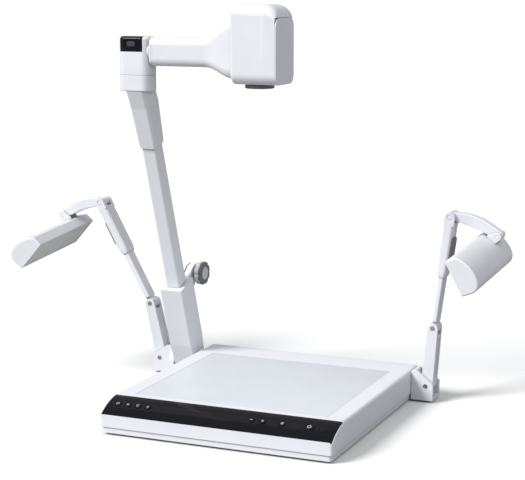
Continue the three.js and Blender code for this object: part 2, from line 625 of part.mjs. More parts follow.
function addLamp(name, pose) {
  const { side } = pose;
  const radians = THREE.MathUtils.degToRad;
  const bracket = new THREE.Group();
  bracket.position.set(pose.face + (side > 0 ? GAP : -GAP), LAMP_Y, 0);
  part.add(bracket);
  piece(`lamp_bracket_${name}`, lampBracketBody(side), WHITE, bracket);

  const lower = new THREE.Group();
  lower.position.set(side * LAMP.pivotOut, 0, LAMP.pivotZ);
  lower.rotation.y = side * radians(pose.lower);
  bracket.add(lower);
  const pinReach = LOWER_ARM.depth / 2 + 6;
  piece(`lamp_foot_pin_${name}`, bar('y', 0, 0, LAMP.pin, -pinReach, pinReach, 12), STEEL, lower);
  piece(`lamp_lower_arm_${name}`, lowerArmBody(side), WHITE, lower);

  const upper = new THREE.Group();
  upper.position.set(0, 0, LAMP.lower);
  upper.rotation.y = side * radians(pose.upper - pose.lower);
  lower.add(upper);
  const elbowReach = LOWER_ARM.depth / 2 - 0.5;
  piece(`lamp_elbow_pin_${name}`, bar('y', 0, 0, LAMP.pin, -elbowReach, elbowReach, 12), STEEL, upper);
  piece(`lamp_rod_${name}`, rodBody(), WHITE, upper);

  const slider = new THREE.Group();
  slider.position.z = pose.extension;
  upper.add(slider);
  piece(`lamp_sleeve_${name}`, lampSleeveBody(), WHITE, slider);

  const neck = new THREE.Group();
  neck.position.z = LAMP.upper;
  neck.rotation.y = side * radians(pose.neck - pose.upper);
  slider.add(neck);
  piece(`lamp_neck_${name}`, lampNeckBody(side), WHITE, neck);

  const shade = new THREE.Group();
  shade.position.x = side * LAMP.neck;
  shade.rotation.set(SHADE_DIP, side * radians(pose.shade - pose.neck), 0);
  neck.add(shade);
  addShade(name, side, shade);
}

function addShade(name, side, shade) {
  const { length, width, wall, pivot, behind } = SHADE;
  piece(`lamp_shade_${name}`, shadeBody(side), WHITE, shade);
  const [middle, half] = [side * (width / 2 - pivot[0]), width / 2 - wall - 0.6];
  const face = -pivot[1];
  const front = behind - length;
  const ends = [front + wall + GAP, behind - wall - GAP];
  const pane = box(middle - half, middle + half, ...ends, face + 0.8, face + 2.8);
  piece(`lamp_diffuser_${name}`, pane, DIFFUSER, shade);
  const strip = box(middle - 12, middle + 12, front + 14, behind - 14, face + 8, face + 9.6);
  piece(`lamp_led_board_${name}`, strip, BOARD, shade);
}

addBase();
addMast();
addElbow();
addCamera();
addLamp('left', LAMP_POSE.left);
addLamp('right', LAMP_POSE.right);

export default part;
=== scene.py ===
"""Looks for a document camera: a lit stage, a camera on a leaning mast and two side lamps."""
import json
import math

import bmesh
import bpy
from mathutils import Matrix, Vector


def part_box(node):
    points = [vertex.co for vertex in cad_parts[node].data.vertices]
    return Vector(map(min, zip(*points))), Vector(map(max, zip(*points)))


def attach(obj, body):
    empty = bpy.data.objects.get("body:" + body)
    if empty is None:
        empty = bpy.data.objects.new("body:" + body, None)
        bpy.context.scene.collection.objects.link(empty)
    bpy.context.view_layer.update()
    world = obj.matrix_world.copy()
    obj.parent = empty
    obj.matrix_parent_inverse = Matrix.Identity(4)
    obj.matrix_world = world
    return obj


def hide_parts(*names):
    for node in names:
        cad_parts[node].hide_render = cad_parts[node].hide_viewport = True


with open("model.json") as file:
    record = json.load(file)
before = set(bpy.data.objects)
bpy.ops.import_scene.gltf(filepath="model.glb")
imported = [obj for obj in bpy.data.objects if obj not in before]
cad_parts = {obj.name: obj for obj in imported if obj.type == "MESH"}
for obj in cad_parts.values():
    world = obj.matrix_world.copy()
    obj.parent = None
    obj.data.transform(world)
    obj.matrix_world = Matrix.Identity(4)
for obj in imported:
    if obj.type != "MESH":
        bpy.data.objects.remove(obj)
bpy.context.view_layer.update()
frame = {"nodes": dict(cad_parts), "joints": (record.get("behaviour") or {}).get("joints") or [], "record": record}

MM = 0.001
GAP = 0.3 * MM                      # clearance between neighbouring pieces
PAST = 0.01                         # how far a cutter reaches past the face it opens
NODES = frame["nodes"]
JOINTS = {joint["name"]: joint for joint in frame["joints"]}
SLOT_OF = {part["node"]: part["material_slot"] for part in frame["record"]["subparts"]}
BODIES = frame["record"]["behaviour"]["bodies"]
BODY_OF = {name: body for body, names in BODIES.items() for name in names}


# ---------- node materials ----------
class Shader:
    """A node material under construction, with object coordinates in metres."""

    def __init__(self, name):
        self.material = bpy.data.materials.new(name)
        self.material.use_nodes = True
        self.tree = self.material.node_tree
        self.tree.nodes.clear()
        self.output = self.add("ShaderNodeOutputMaterial")
        self.surface = self.add("ShaderNodeBsdfPrincipled")
        self.link(self.surface.outputs["BSDF"], self.output.inputs["Surface"])
        self.where = self.add("ShaderNodeTexCoord").outputs["Object"]

    def add(self, kind, **settings):
        node = self.tree.nodes.new(kind)
        for key, value in settings.items():
            setattr(node, key, value)
        return node

    def link(self, source, target):
        self.tree.links.new(source, target)

    def set(self, **values):
        for key, value in values.items():
            self.surface.inputs[key.replace("_", " ")].default_value = value

    def noise(self, size, detail=2.0, stretch=None):
        """Noise with features about `size` metres across, from 0 to 1."""
        node = self.add("ShaderNodeTexNoise")
        node.inputs["Scale"].default_value = 1 / size
        node.inputs["Detail"].default_value = detail
        where = self.where
        if stretch:
            mapping = self.add("ShaderNodeMapping")
            mapping.inputs["Scale"].default_value = stretch
            self.link(where, mapping.inputs["Vector"])
            where = mapping.outputs["Vector"]
        self.link(where, node.inputs["Vector"])
        return node.outputs["Fac"]

    def remap(self, value, low, high, to_low, to_high):
        """A value from low to high, spread over to_low to to_high and held at both ends."""
        node = self.add("ShaderNodeMapRange", clamp=True)
        node.inputs["From Min"].default_value = low
        node.inputs["From Max"].default_value = high
        node.inputs["To Min"].default_value = to_low
        node.inputs["To Max"].default_value = to_high
        self.link(value, node.inputs["Value"])
        return node.outputs["Result"]

    def mix(self, factor, first, second):
        """Colours `first` and `second`, each a colour or a socket, blended by a socket."""
        node = self.add("ShaderNodeMix", data_type="RGBA")
        self.link(factor, node.inputs[0])
        for value, socket in ((first, node.inputs[6]), (second, node.inputs[7])):
            if isinstance(value, tuple):
                socket.default_value = (*value, 1)
            else:
                self.link(value, socket)
        return node.outputs[2]

    def bump(self, height, strength, distance):
        node = self.add("ShaderNodeBump")
        node.inputs["Strength"].default_value = strength
        node.inputs["Distance"].default_value = distance
        self.link(height, node.inputs["Height"])
        self.link(node.outputs["Normal"], self.surface.inputs["Normal"])

    def edges(self, width):
        """1 on convex edges, where rubbed wear and a painted highlight lighten the colour, 0 on open faces."""
        pointed = self.add("ShaderNodeNewGeometry").outputs["Pointiness"]
        return self.remap(pointed, 0.5 + width, 0.5 + 4 * width, 0, 1)

    def crevice_shade(self, reach):
        """1 in seams and inner corners, where painted shade darkens the colour, 0 on open faces."""
        node = self.add("ShaderNodeAmbientOcclusion", samples=4)
        node.inputs["Distance"].default_value = reach
        return self.remap(node.outputs["AO"], 0.35, 0.9, 1, 0)


def shade(colour, factor):
    """The colour made lighter or darker."""
    return tuple(min(1.0, channel * factor) for channel in colour)


def moulded(name, colour, roughness=0.42, grain=0.9 * MM, depth=0.03 * MM, coat=0.0):
    """Moulded plastic: a fine spark texture, faint cloudy colour, painted shade in its seams and lighter convex
    edges as rubbed wear and painted highlight.
    """
    s = Shader(name)
    cloud = s.noise(60 * MM, 3)
    base = s.mix(s.remap(cloud, 0.35, 0.65, 0, 1), shade(colour, 0.975), shade(colour, 1.015))
    # Convex edges lighter: rubbed wear and a painted edge highlight.
    base = s.mix(s.edges(0.01), base, shade(colour, 1.06))
    # Painted shade: the colour is darkened in seams and inner corners.
    base = s.mix(s.crevice_shade(6 * MM), base, shade(colour, 0.72))
    s.link(base, s.surface.inputs["Base Color"])
    smear = s.noise(14 * MM, 4, (1, 1, 0.35))
    s.link(s.remap(smear, 0.3, 0.7, roughness - 0.05, roughness + 0.06),
           s.surface.inputs["Roughness"])
    s.bump(s.noise(grain, 2), 0.35, depth)
    s.set(Coat_Weight=coat, Coat_Roughness=0.2, IOR=1.46)
    return s.material


def polished(name, colour, roughness=0.08, dust=0.12):
    """Polished black plastic or a dark window: mirror-like, with wiping smears and settled dust."""
    s = Shader(name)
    smear = s.noise(22 * MM, 5, (0.25, 1, 1))
    s.link(s.remap(smear, 0.35, 0.75, roughness, roughness + 0.1),
           s.surface.inputs["Roughness"])
    specks = s.remap(s.noise(1.1 * MM, 1), 0.72, 0.8, 0, dust)
    base = s.mix(specks, colour, (0.25, 0.25, 0.27))
    # Convex edges much lighter: rubbed wear and a painted edge glint.
    base = s.mix(s.edges(0.012), base, shade(colour, 1.8))
    s.link(base, s.surface.inputs["Base Color"])
    s.bump(s.noise(35 * MM, 1), 0.06, 0.4 * MM)
    s.set(IOR=1.45, Specular_IOR_Level=0.16)
    return s.material


def brushed(name, colour, roughness=0.28, along=(1, 1, 0.04)):
    """Turned or drawn metal with fine lines and a little staining."""
    s = Shader(name)
    lines = s.noise(0.35 * MM, 2, along)
    s.link(s.remap(lines, 0.3, 0.7, roughness - 0.08, roughness + 0.14),
           s.surface.inputs["Roughness"])
    stain = s.remap(s.noise(9 * MM, 3), 0.4, 0.7, 0, 1)
    s.link(s.mix(stain, colour, shade(colour, 0.82)), s.surface.inputs["Base Color"])
    s.bump(lines, 0.2, 0.02 * MM)
    s.set(Metallic=1.0)
    return s.material


def rubbery(name, colour):
    """Matt rubber with a dusty bloom."""
    s = Shader(name)
    bloom = s.remap(s.noise(5 * MM, 4), 0.45, 0.7, 0, 1)
    s.link(s.mix(bloom, colour, shade(colour, 1.9)), s.surface.inputs["Base Color"])
    s.link(s.remap(s.noise(2 * MM, 2), 0.3, 0.7, 0.75, 0.95), s.surface.inputs["Roughness"])
    s.bump(s.noise(0.7 * MM, 2), 0.5, 0.08 * MM)
    return s.material


def frosted(name, colour, roughness=0.5, ridge=0.0):
    """A light-spreading sheet: milky, with fine ridges where it covers a lamp."""
    s = Shader(name)
    cloud = s.remap(s.noise(40 * MM, 2), 0.35, 0.65, 0, 1)
    s.link(s.mix(cloud, shade(colour, 0.97), colour), s.surface.inputs["Base Color"])
    s.link(s.remap(s.noise(3 * MM, 3), 0.3, 0.7, roughness - 0.06, roughness + 0.06),
           s.surface.inputs["Roughness"])
    s.bump(s.noise(0.6 * MM, 2, (1, 1 + ridge, 1)), 0.25, 0.03 * MM)
    s.set(Subsurface_Weight=0.12, Subsurface_Scale=0.004)
    return s.material


def board(name):
    """Solder mask with darker copper areas under it."""
    s = Shader(name)
    cells = s.add("ShaderNodeTexVoronoi")
    cells.inputs["Scale"].default_value = 160
    s.link(s.where, cells.inputs["Vector"])
    copper = s.remap(cells.outputs["Distance"], 0.3, 0.5, 0, 1)
    s.link(s.mix(copper, (0.012, 0.11, 0.045), (0.02, 0.17, 0.07)), s.surface.inputs["Base Color"])
    s.link(s.remap(s.noise(2 * MM), 0.3, 0.7, 0.3, 0.5), s.surface.inputs["Roughness"])
    s.bump(copper, 0.3, 0.05 * MM)
    return s.material


def coated_glass(name):
    """The front lens: dark and clear, with a painted violet reflection of its coating that grows towards grazing
    angles.
    """
    s = Shader(name)
    facing = s.add("ShaderNodeLayerWeight").outputs["Facing"]
    # Painted reflection: the colour turns from dark to violet as the face turns away from view.
    s.link(s.mix(facing, (0.02, 0.025, 0.05), (0.16, 0.10, 0.24)), s.surface.inputs["Base Color"])
    s.link(s.remap(s.noise(4 * MM, 3), 0.4, 0.8, 0.02, 0.07), s.surface.inputs["Roughness"])
    s.bump(s.noise(18 * MM, 1), 0.04, 0.2 * MM)
    s.set(Coat_Weight=1.0, Coat_Roughness=0.02, IOR=1.6)
    return s.material


LOOKS = {
    "white_plastic": moulded("white_plastic", (0.66, 0.67, 0.705)),
    "stage_white": moulded("stage_white", (0.60, 0.625, 0.665), roughness=0.34, grain=0.5 * MM,
                           depth=0.01 * MM, coat=0.15),
    "grey_plastic": moulded("grey_plastic", (0.63, 0.63, 0.70), roughness=0.46),
    "dark_plastic": moulded("dark_plastic", (0.13, 0.13, 0.125), roughness=0.4),
    "black_gloss": polished("black_gloss", (0.006, 0.006, 0.008)),
    "rubber": rubbery("rubber", (0.02, 0.02, 0.021)),
    "steel": brushed("steel", (0.52, 0.53, 0.55)),
    "circuit_board": board("circuit_board"),
    "glass": coated_glass("glass"),
    "sensor": polished("sensor", (0.05, 0.05, 0.058), roughness=0.2),
    "rear_panel": moulded("rear_panel", (0.36, 0.365, 0.39), roughness=0.5),
    "print": moulded("print", (0.42, 0.43, 0.46), roughness=0.6, grain=0.3 * MM, depth=0.005 * MM),
    "pale_cap": moulded("pale_cap", (0.5, 0.5, 0.52), roughness=0.4),
    "diffuser": frosted("diffuser", (0.72, 0.72, 0.70), ridge=6),
}


# ---------- edges and modifiers ----------
def merge_facets(piece):
    """Joins the facets that lie in one plane."""
    flat = piece.modifiers.new("flat", "DECIMATE")
    flat.decimate_type = "DISSOLVE"
    flat.angle_limit = math.radians(0.5)


def soften(piece, width=0.6 * MM, segments=2, angle=35):
    """Rounds the edges sharper than `angle` degrees."""
    bevel = piece.modifiers.new("edges", "BEVEL")
    bevel.width = width
    bevel.segments = segments
    bevel.limit_method = "ANGLE"
    bevel.angle_limit = math.radians(angle)
    weighted = piece.modifiers.new("normals", "WEIGHTED_NORMAL")
    weighted.keep_sharp = False
    weighted.weight = 80
    return piece


def apply_modifiers(piece):
    graph = bpy.context.evaluated_depsgraph_get()
    result = bpy.data.meshes.new_from_object(piece.evaluated_get(graph))
    piece.modifiers.clear()
    piece.data = result


def smooth(piece, sharp=35):
    piece.data.shade_smooth()
    piece.data.set_sharp_from_angle(angle=math.radians(sharp))


def finish_cad(name):
    """Gives a CAD node its slot's look, merges its flat facets and rounds its sharp edges."""
    piece = NODES[name]
    piece.data.materials.clear()
    look = "rear_panel" if name == "rear_connector_panel" else SLOT_OF[name]
    piece.data.materials.append(LOOKS[look])
    merge_facets(piece)
    soften(piece, 0.8 * MM, 3, 28)
    for polygon in piece.data.polygons:
        polygon.use_smooth = True


# ---------- outlines ----------
CORNER = 10                         # steps round each corner of a rounded rectangle
SUPPORT = 1.5 * MM                  # distance of the extra points that hold straight sides flat
SQUARE = 0.001 * MM                 # rounding of an end that is left square


def rounded(width, height, radius, centre=(0, 0)):
    """A rounded rectangle about `centre`, counter-clockwise, its straight sides held flat."""
    radius = min(radius, width / 2 - 1e-5, height / 2 - 1e-5)
    across, up = width / 2 - radius, height / 2 - radius
    hold_across, hold_up = min(SUPPORT, 0.6 * across), min(SUPPORT, 0.6 * up)
    corners = (
        (across, -up, -90, (-hold_across, 0), (0, hold_up)),
        (across, up, 0, (0, -hold_up), (-hold_across, 0)),
        (-across, up, 90, (hold_across, 0), (0, -hold_up)),
        (-across, -up, 180, (0, hold_up), (hold_across, 0)))
    points = []
    for u, v, start, before, after in corners:
        turns = [math.radians(start + 90 * i / CORNER) for i in range(CORNER + 1)]
        arc = [(u + radius * math.cos(a), v + radius * math.sin(a)) for a in turns]
        first = (arc[0][0] + before[0], arc[0][1] + before[1])
        last = (arc[-1][0] + after[0], arc[-1][1] + after[1])
        points += [first, *arc, last]
    return [(centre[0] + u, centre[1] + v) for u, v in points]


def circle(radius, centre=(0, 0)):
    """A circle with as many points as a rounded rectangle, starting at the same side."""
    count = 4 * (CORNER + 3)
    turns = [2 * math.pi * (i + 0.5) / count - math.pi / 2 for i in range(count)]
    return [(centre[0] + radius * math.cos(a), centre[1] + radius * math.sin(a)) for a in turns]


def across_x(x, points):
    return [Vector((x, u, v)) for u, v in points]


def across_y(y, points):
    return [Vector((u, y, v)) for u, v in points]


def across_z(z, points):
    return [Vector((u, v, z)) for u, v in points]


def ends(start, finish, start_round, finish_round, steps=6):
    """Places along a bar and how far its section is drawn in there, to round both its ends."""
    turns = [math.pi / 2 * i / steps for i in range(steps + 1)]
    first = [(start + start_round * (1 - math.cos(a)), start_round * (1 - math.sin(a)))
             for a in turns]
    last = [(finish - finish_round * (1 - math.cos(a)), finish_round * (1 - math.sin(a)))
            for a in turns]
    hold = min(SUPPORT, (last[-1][0] - first[-1][0]) / 3)
    return [*first, (first[-1][0] + hold, 0), (last[-1][0] - hold, 0), *last[::-1]]


def smoothstep(t):
    return t * t * (3 - 2 * t)


# ---------- meshes ----------
def mesh_piece(name, points, faces, matrix=None, sharp=35):
    mesh = bpy.data.meshes.new(name)
    mesh.from_pydata([matrix @ p for p in points] if matrix else points, [], faces)
    work = bmesh.new()
    work.from_mesh(mesh)
    bmesh.ops.remove_doubles(work, verts=work.verts, dist=1e-6)
    bmesh.ops.recalc_face_normals(work, faces=work.faces)
    work.to_mesh(mesh)
    work.free()
    piece = bpy.data.objects.new(name, mesh)
    bpy.context.scene.collection.objects.link(piece)
    smooth(piece, sharp)
    return piece


def band_faces(first, second, count):
    """Faces between two rings of `count` points, from the index of each ring's first point."""
    pairs = [(i, (i + 1) % count) for i in range(count)]
    return [(first + i, first + j, second + j, second + i) for i, j in pairs]


def cap_faces(total, count):
    """Faces that close the first and the last ring of `total` points."""
    return [tuple(range(count - 1, -1, -1)), tuple(range(total - count, total))]


def skin(name, rings, matrix=None, sharp=35):
    """A closed skin over rings of equally many points, capped at both ends."""
    count = len(rings[0])
    points = [p for ring in rings for p in ring]
    faces = cap_faces(len(points), count)
    for k in range(0, len(points) - count, count):
        faces += band_faces(k, k + count, count)
    return mesh_piece(name, points, faces, matrix, sharp)


def block(low, high, matrix=None):
    """A plain box, only ever used to cut another piece."""
    middle = [(a + b) / 2 for a, b in zip(low, high)]
    size = [b - a for a, b in zip(low, high)]
    work = bmesh.new()
    placed = Matrix.Translation(middle) @ Matrix.Diagonal((*size, 1))
    bmesh.ops.create_cube(work, size=1, matrix=placed)
    mesh = bpy.data.meshes.new("cutter")
    work.to_mesh(mesh)
    work.free()
    if matrix:
        mesh.transform(matrix)
    cutter = bpy.data.objects.new("cutter", mesh)
    bpy.context.scene.collection.objects.link(cutter)
    return cutter


def combine(piece, operation, *cutters):
    """Cuts, joins or intersects piece with each cutter in turn, and removes the cutters."""
    for cutter in cutters:
        step = piece.modifiers.new("step", "BOOLEAN")
        step.operation = operation
        step.solver = "EXACT"
        step.object = cutter
        apply_modifiers(piece)
        bpy.data.objects.remove(cutter)
    smooth(piece)
    return piece


def finish_piece(piece, body, slot, *nodes, look=None):
    """Gives a piece its look and body, and puts it in the place of the CAD nodes named."""
    piece.data.materials.clear()
    piece.data.materials.append(LOOKS[look or slot])
    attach(piece, body)
    if nodes:
        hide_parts(*nodes)
    return piece


# ---------- places read from the frame ----------
def middle_of(low, high, axes="xy"):
    return tuple((getattr(low, axis) + getattr(high, axis)) / 2 for axis in axes)


def extent(node, matrix):
    """Lowest and highest corners of a CAD node in a turned frame."""
    inverse = matrix.inverted()
    points = [inverse @ vertex.co for vertex in NODES[node].data.vertices]
    return (Vector([min(p[i] for p in points) for i in range(3)]),
            Vector([max(p[i] for p in points) for i in range(3)]))


def frame_at(origin, x_axis, z_axis):
    x, z = Vector(x_axis).normalized(), Vector(z_axis).normalized()
    y = z.cross(x).normalized()
    turned = Matrix((x, y, z)).transposed().to_4x4()
    return Matrix.Translation(Vector(origin)) @ turned


def joint_at(name):
    return Vector(JOINTS[name]["pos_m"])


# ---------- camera ----------
HEAD_CORNER = 17 * MM
HEAD_WALL = 2.5 * MM
HEAD_RUN = 26 * MM                  # length over which the top falls to the side panel
HEAD_ROOM = 10 * MM                 # from the arm's side of the head to the hollow in it
PANEL_CORNER = 15 * MM
SPIGOT = 17 * MM                    # radius of the arm's end in the elbow
ARM = (34 * MM, 48 * MM)            # width and height of the slim part of the arm
ARM_CORNER = 13 * MM
FLARE = -104 * MM                   # x at which the arm starts to swell
KNURL = 0.25 * MM
# Millimetres above the hood's lower rim, and in from its outside.
HOOD_PROFILE = ((9, 0), (8.6, 0.8), (7.4, 0.8), (7, 0), (1, 0), (0.3, 0.3), (0, 1), (0, 2.4),
                (0.8, 3), (6, 4.8), (7, 5))


def camera_head():
    """The head: a rounded box whose top falls in a quarter curve to the flat side panel."""
    low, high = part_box("camera_head_housing")
    panel_low, panel_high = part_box("camera_side_panel")
    middle_y = (low.y + high.y) / 2
    depth = high.y - low.y
    fall = high.z - panel_high.z
    slope_start = high.x - HEAD_RUN

    def top_at(x):
        t = max(0.0, min(1.0, (x - slope_start) / HEAD_RUN))
        return high.z - fall * (1 - math.sqrt(1 - t * t))

    def section(x, drawn_in):
        height = top_at(x) - low.z - 2 * drawn_in
        return across_x(x, rounded(depth - 2 * drawn_in, height, HEAD_CORNER - drawn_in / 2,
                                   (middle_y, low.z + drawn_in + height / 2)))

    start = [(x, d) for x, d in ends(low.x, slope_start, 5 * MM, SQUARE) if x < slope_start]
    slope = [(high.x - HEAD_RUN * (1 - math.sin(math.pi / 2 * i / 14)), 0) for i in range(15)]
    head = skin("head_shell", [section(x, d) for x, d in start + slope])
    open_end = high.x + 1 * MM
    inside = [(x, d) for x, d in ends(low.x + HEAD_ROOM, open_end, 3 * MM, SQUARE) if x < high.x]
    room = skin("room", [section(x, HEAD_WALL + d) for x, d in [*inside, (open_end, 0)]])
    over = block((panel_low.x - GAP, low.y - PAST, low.z - PAST),
                 (high.x + PAST, high.y + PAST, panel_high.z + GAP))
    hood_low, hood_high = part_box("lens_hood")
    opening = circle((hood_high.x - hood_low.x) / 2 + GAP, middle_of(hood_low, hood_high))
    hole = skin("hole", [across_z(z, opening) for z in (low.z - PAST, low.z + 2 * PAST)])
    combine(head, "DIFFERENCE", over, room, hole)
    finish_piece(soften(head, 0.5 * MM), "camera", "white_plastic", "camera_head_housing")

    height = panel_high.z - low.z
    middle = (middle_y, (low.z + panel_high.z) / 2)
    panel = skin("head_panel", [
        across_x(x, rounded(depth - 2 * d, height - 2 * d, PANEL_CORNER - d / 2, middle))
        for x, d in ends(panel_low.x, panel_high.x, 0.2 * MM, 1.4 * MM)])
    finish_piece(panel, "camera", "grey_plastic", "camera_side_panel")


def lens_barrel(count=96):
    """The hood under the head: a stepped ring round the front glass, with a knurled rim."""
    low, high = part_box("lens_hood")
    middle = middle_of(low, high)
    outer = (high.x - low.x) / 2
    knurl_low, knurl_high = low.z + 1 * MM, low.z + 7 * MM
    profile = [(high.z, outer - 5 * MM), (high.z, outer)]
    profile += [(low.z + rise * MM, outer - inward * MM) for rise, inward in HOOD_PROFILE]
    points, faces = [], []
    for z, r in profile:
        for i in range(count):
            grooved = i % 4 < 2 and knurl_low <= z <= knurl_high and r >= outer
            radius = r - (KNURL if grooved else 0)
            angle = 2 * math.pi * i / count
            points.append(Vector((middle[0] + radius * math.cos(angle),
                                  middle[1] + radius * math.sin(angle), z)))
    for k in range(len(profile)):
        faces += band_faces(k * count, (k + 1) % len(profile) * count, count)
    barrel = mesh_piece("lens_barrel", points, faces)
    finish_piece(barrel, "camera", "dark_plastic", "lens_hood")


def camera_arm():
    """The arm leaves the elbow as a slim rounded bar and swells like a trumpet into the head."""
    low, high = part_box("camera_arm")
    neck = joint_at("camera_roll")
    axis = (neck.y, neck.z)
    start = neck.x + 0.5 * MM
    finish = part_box("camera_head_housing")[0].x + 0.3 * MM
    width, height = ARM
    rings = [across_x(x, circle(SPIGOT - d, axis))
             for x, d in ends(low.x, start - 0.01 * MM, 1 * MM, SQUARE, 3)]
    rings += [across_x(x, rounded(width - 2 * d, height - 2 * d, ARM_CORNER - d / 2, axis))
              for x, d in ends(start, start + 4 * MM, 1.6 * MM, SQUARE, 4)]
    for i in range(1, 12):
        x = start + (FLARE - start) * i / 12
        rings.append(across_x(x, rounded(width, height, ARM_CORNER, axis)))
    for i in range(31):
        t = i / 30
        grow = smoothstep(t) ** 0.95
        middle = (neck.y + ((low.y + high.y) / 2 - neck.y) * grow,
                  neck.z + ((low.z + high.z) / 2 - neck.z) * grow)
        rings.append(across_x(FLARE + (finish - FLARE) * t, rounded(
            width + (high.y - low.y - width) * grow, height + (high.z - low.z - height) * grow,
            (13 + 5 * grow) * MM, middle)))
    arm = skin("arm_shell", rings, sharp=40)
    finish_piece(arm, "camera", "white_plastic", "camera_arm")


# ---------- elbow ----------
ELBOW_CORNER = 13 * MM
ELBOW_SEAM = 0.7 * MM               # rounding on both sides of the swivel seam
ELBOW_TOP = 5 * MM                  # rounding of the housing's top
WINDOW_THICK = 3 * MM


def elbow():
    """The fixed collar, the swivelling housing and the dark window over its front top edge."""
    collar_low, collar_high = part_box("elbow_collar")
    low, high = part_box("elbow_housing")
    middle = middle_of(low, high)
    width, depth = high.x - low.x, high.y - low.y
    core_top = high.z - WINDOW_THICK

    def stack(name, z0, z1, low_round, high_round, inset=0.0):
        return skin(name, [
            across_z(z, rounded(width - 2 * (d + inset), depth - 2 * (d + inset),
                                ELBOW_CORNER - inset - d / 2, middle))
            for z, d in ends(z0, z1, low_round, high_round)])

    spindle_low, spindle_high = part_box("elbow_spindle")
    spindle = circle((spindle_high.x - spindle_low.x) / 2 + GAP,
                     middle_of(spindle_low, spindle_high))

    def well(z0, z1):
        return skin("well", [across_z(z, spindle) for z in (z0, z1)])

    collar = stack("elbow_ring", collar_low.z, collar_high.z, 1.5 * MM, ELBOW_SEAM)
    combine(collar, "DIFFERENCE", well(spindle_low.z - GAP, collar_high.z + PAST))
    finish_piece(collar, "mast_slider", "white_plastic", "elbow_collar")

    window_low, window_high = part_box("sensor_window")
    shell = stack("elbow_shell", low.z, high.z, ELBOW_SEAM, ELBOW_TOP)
    glass = stack("elbow_window", low.z, high.z, ELBOW_SEAM, ELBOW_TOP)
    core = stack("core", low.z, core_top, ELBOW_SEAM, WINDOW_THICK, WINDOW_THICK)
    room = block((window_low.x - GAP, window_low.y - 2 * PAST, window_low.z - GAP),
                 (window_high.x + GAP, window_high.y + GAP, high.z + PAST))
    core_gap = stack("core_gap", low.z, core_top - GAP, ELBOW_SEAM, WINDOW_THICK,
                     WINDOW_THICK + GAP)
    combine(room, "DIFFERENCE", core_gap)
    roll = joint_at("camera_roll")
    socket_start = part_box("camera_arm")[0].x - 1 * MM
    socket = skin("socket", [across_x(x, circle(SPIGOT + GAP, (roll.y, roll.z)))
                             for x in (socket_start, high.x + PAST)])
    combine(shell, "DIFFERENCE", room, socket, well(low.z - PAST, spindle_high.z + 1 * MM))
    finish_piece(soften(shell, 0.4 * MM), "elbow", "white_plastic", "elbow_housing")

    pane_block = block((window_low.x, window_low.y - 2 * PAST, window_low.z),
                       (window_high.x, window_high.y, high.z + PAST))
    combine(glass, "INTERSECT", pane_block)
    combine(glass, "DIFFERENCE", core)
    finish_piece(soften(glass, 0.5 * MM), "elbow", "black_gloss", "sensor_window")
    eye_middle = ((window_low.x + window_high.x) / 2, (window_low.z + high.z) / 2)
    eye = skin("sensor_eye", [
        across_y(y, rounded(15 * MM - 2 * d, 8 * MM - 2 * d, 2.5 * MM - d / 2, eye_middle))
        for y, d in ends(low.y - 0.4 * MM, low.y + 1 * MM, 0.4 * MM, 0.1 * MM, 4)])
    finish_piece(eye, "elbow", "dark_plastic", look="sensor")


# ---------- base ----------
BUTTON_NAMES = [name for name in NODES if name.startswith("button_")]
BASE_SIDE = 5 * MM                  # rounding of the base's left and right edges
STAGE_LEDGE = 7 * MM                # width of the step that carries the stage panel
SLOT_SIZE = (14.2 * MM, 20 * MM, 8 * MM)    # opening under a button: along the slope, down, up
FASCIA_INSET = 0.35 * MM
STAGE_CORNER = 2.5 * MM
# Millimetres below the cap's rim, and in from its outside.
BUTTON_DISH = ((0.12, 1.4), (0.3, 2.4), (0.4, 4))
MARK_BELOW = 0.42 * MM              # from a cap's rim down to the level its mark is set from
MARK_DEPTH = (-0.3 * MM, 0.45 * MM)
MARK_SCALE = 1.15
POWER_SCALE = 1.5


def curve_through(start, control, finish, steps=18):
    return [((1 - t) ** 2 * start[0] + 2 * t * (1 - t) * control[0] + t * t * finish[0],
             (1 - t) ** 2 * start[1] + 2 * t * (1 - t) * control[1] + t * t * finish[1])
            for t in (i / steps for i in range(steps + 1))]


class Base:
    """The base's measurements, read from its CAD nodes, and its sloping front edge as (y, z)."""
    low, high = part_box("base_cover")
    stage_low, stage_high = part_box("stage_panel")
    thick, bulge, wall = 2.4 * MM, 7 * MM, 2.5 * MM
    foot = Vector((low.y, 34.7 * MM))
    head = Vector((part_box("control_fascia")[1].y, high.z))
    along = (head - foot).normalized()
    out = Vector((-along.y, along.x))

    @classmethod
    def slope(cls, offset):
        """The curve of the front edge, `offset` below its surface."""
        middle = (cls.foot + cls.head) / 2 + cls.out * cls.bulge
        shift = cls.out * -offset
        return curve_through(cls.foot + shift, middle + shift, cls.head + shift)

    @classmethod
    def slope_frame(cls, x):
        """Frame in the middle of the slope, with Z out of it."""
        centre = (cls.foot + cls.head) / 2 + cls.out * (cls.bulge / 2)
        return frame_at((x, centre.x, centre.y), (1, 0, 0), (0, cls.out.x, cls.out.y))


def base_outline(inset, bottom):
    """The side view of the base cover as (y, z), starting at the bottom rear corner."""
    low, high = Base.low, Base.high
    turn = 3 * MM
    rear = [(high.y - inset - turn * (1 - math.cos(a)), high.z - inset - turn * (1 - math.sin(a)))
            for a in (math.pi / 2 * i / 6 for i in range(7))]
    front = [(max(y, low.y + inset), min(z, high.z - inset))
             for y, z in reversed(Base.slope(inset))]
    return [(high.y - inset, bottom), *rear, *front,
            (low.y + inset, front[-1][1] - 1 * MM), (low.y + inset, bottom)]


